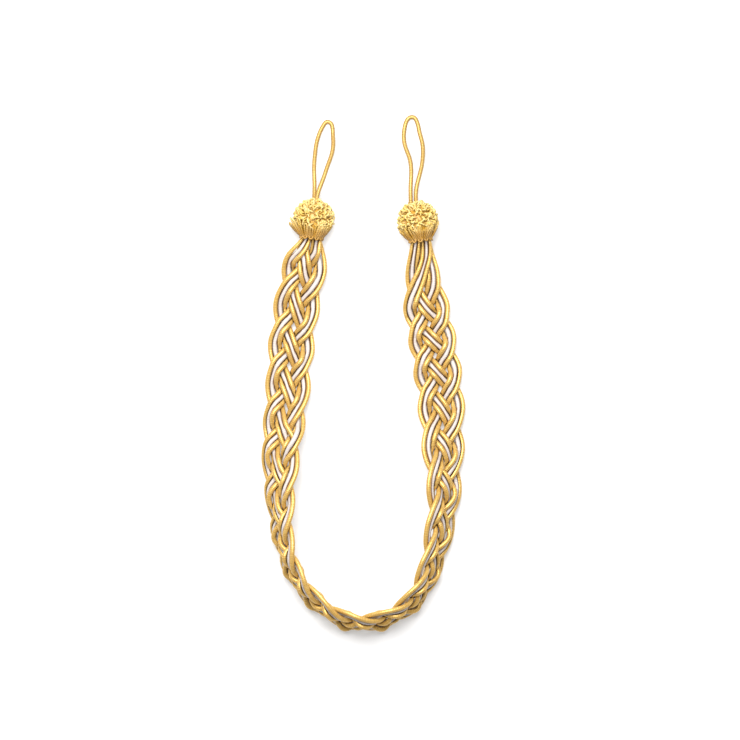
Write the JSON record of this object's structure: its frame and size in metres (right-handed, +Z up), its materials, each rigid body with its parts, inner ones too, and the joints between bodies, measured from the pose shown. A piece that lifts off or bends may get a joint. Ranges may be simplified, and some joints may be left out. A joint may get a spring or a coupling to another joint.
{
  "type": "braided curtain tieback",
  "caption": "U-shaped flat plait of gold and silver gimp cords, bound at both ends into a looped-fringe ball with a hanging cord loop.",
  "frame": {"origin": "on the surface, under the middle of the tieback's outline", "axes": "+Y from the bottom of the U to the hook loops, +X across the two arms, +Z up from the surface it lies on"},
  "size_m": [0.1321, 0.3349, 0.029],
  "materials": {
    "gold_cord": "satin gimp-wrapped cord",
    "silver_cord": "satin gimp-wrapped cord",
    "fringe_yarn": "looped rayon fringe",
    "loop_cord": "thin covered cord"
  },
  "bodies": {
    "root": {"strand_a_1_gold": "gold_cord", "strand_a_2_silver": "silver_cord", "strand_a_3_gold": "gold_cord", "strand_b_1_gold": "gold_cord", "strand_b_2_silver": "silver_cord", "strand_b_3_gold": "gold_cord", "strand_c_1_gold": "gold_cord", "strand_c_2_silver": "silver_cord", "strand_c_3_gold": "gold_cord", "strand_d_1_gold": "gold_cord", "strand_d_2_silver": "silver_cord", "strand_d_3_gold": "gold_cord", "left_ball": "fringe_yarn", "right_ball": "fringe_yarn", "left_hook_loop": "loop_cord", "right_hook_loop": "loop_cord"}
  },
  "joints": []
}
